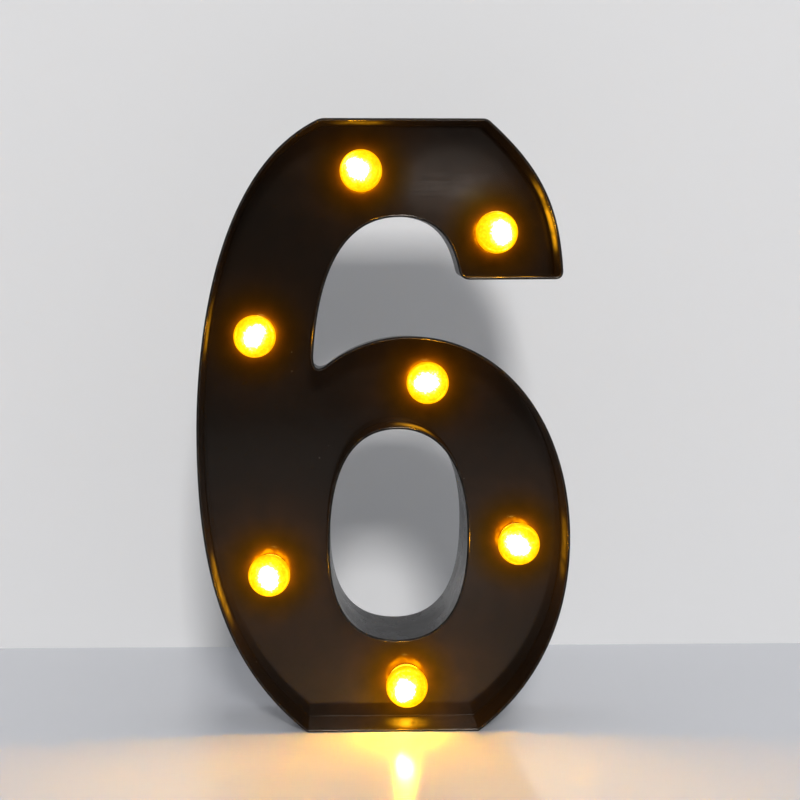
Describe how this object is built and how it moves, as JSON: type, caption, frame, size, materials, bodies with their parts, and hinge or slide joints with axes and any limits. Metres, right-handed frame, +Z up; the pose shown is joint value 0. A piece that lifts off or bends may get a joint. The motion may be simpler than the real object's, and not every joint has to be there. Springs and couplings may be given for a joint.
{
  "type": "battery marquee numeral light",
  "caption": "Free-standing moulded numeral light: a deep black tray with domed bulb caps over LEDs, a screwed back cover, battery compartment and slide switch.",
  "frame": {"origin": "centre of the overall box in X and Y, in the plane of the foot that it stands on", "axes": "+X to the right as seen from the open front, +Y from the front to the back, +Z up"},
  "size_m": [0.1352, 0.045, 0.2206],
  "materials": {
    "shell_black": "satin-gloss black moulded plastic with a slight brown cast",
    "cover_black": "fine-grained matte black moulded plastic",
    "bulb_amber": "clear warm amber plastic with moulded prisms, lit from inside",
    "led_clear": "clear epoxy with a warm white phosphor, lit",
    "retainer_white": "plain off-white moulded plastic",
    "cell_label": null,
    "contact_nickel": "nickel-plated spring steel",
    "screw_steel": "zinc-plated steel",
    "switch_steel": "tinned pressed steel",
    "switch_black": "plain black moulded plastic",
    "phenolic_brown": "brown phenolic board",
    "wire_red": "smooth red wire insulation",
    "wire_black": "smooth black wire insulation",
    "resistor_tan": "lacquered tan body with plain colour bands"
  },
  "bodies": {
    "body": {"front_shell": "shell_black", "back_cover": "cover_black", "switch_can": "switch_steel", "switch_base": "phenolic_brown", "switch_terminal_1": "contact_nickel", "switch_terminal_2": "contact_nickel", "switch_terminal_3": "contact_nickel", "bulb_cap_1": "bulb_amber", "bulb_cap_2": "bulb_amber", "bulb_cap_3": "bulb_amber", "bulb_cap_4": "bulb_amber", "bulb_cap_5": "bulb_amber", "bulb_cap_6": "bulb_amber", "bulb_cap_7": "bulb_amber", "led_1": "led_clear", "led_2": "led_clear", "led_3": "led_clear", "led_4": "led_clear", "led_5": "led_clear", "led_6": "led_clear", "led_7": "led_clear", "led_retainer_1": "retainer_white", "led_retainer_2": "retainer_white", "led_retainer_3": "retainer_white", "led_retainer_4": "retainer_white", "led_retainer_5": "retainer_white", "led_retainer_6": "retainer_white", "led_retainer_7": "retainer_white", "battery_1": "cell_label", "battery_2": "cell_label", "positive_contact": "contact_nickel", "negative_contact": "contact_nickel", "bridge_contact": "contact_nickel", "negative_spring": "contact_nickel", "bridge_spring": "contact_nickel", "supply_wire_red": "wire_red", "supply_wire_black": "wire_black", "battery_lead_red": "wire_red", "battery_lead_black": "wire_black", "series_resistor": "resistor_tan", "cover_screw_1": "screw_steel", "cover_screw_2": "screw_steel", "cover_screw_3": "screw_steel", "cover_screw_4": "screw_steel", "cover_screw_5": "screw_steel", "cover_screw_6": "screw_steel", "cover_screw_7": "screw_steel", "cover_screw_8": "screw_steel"},
    "battery_door": {"battery_door": "cover_black"},
    "switch_slider": {"switch_slider": "switch_black"}
  },
  "joints": [
    {"name": "door_hinge", "type": "hinge", "parent": "body", "child": "battery_door", "pos_m": [-0.04446, 0.021, 0.06985], "axis": [-1, 0, 0], "range_deg": [0, 80]},
    {"name": "switch_slide", "type": "slide", "parent": "body", "child": "switch_slider", "axis": [1, 0, 0], "range_m": [-0.003, 0]}
  ]
}
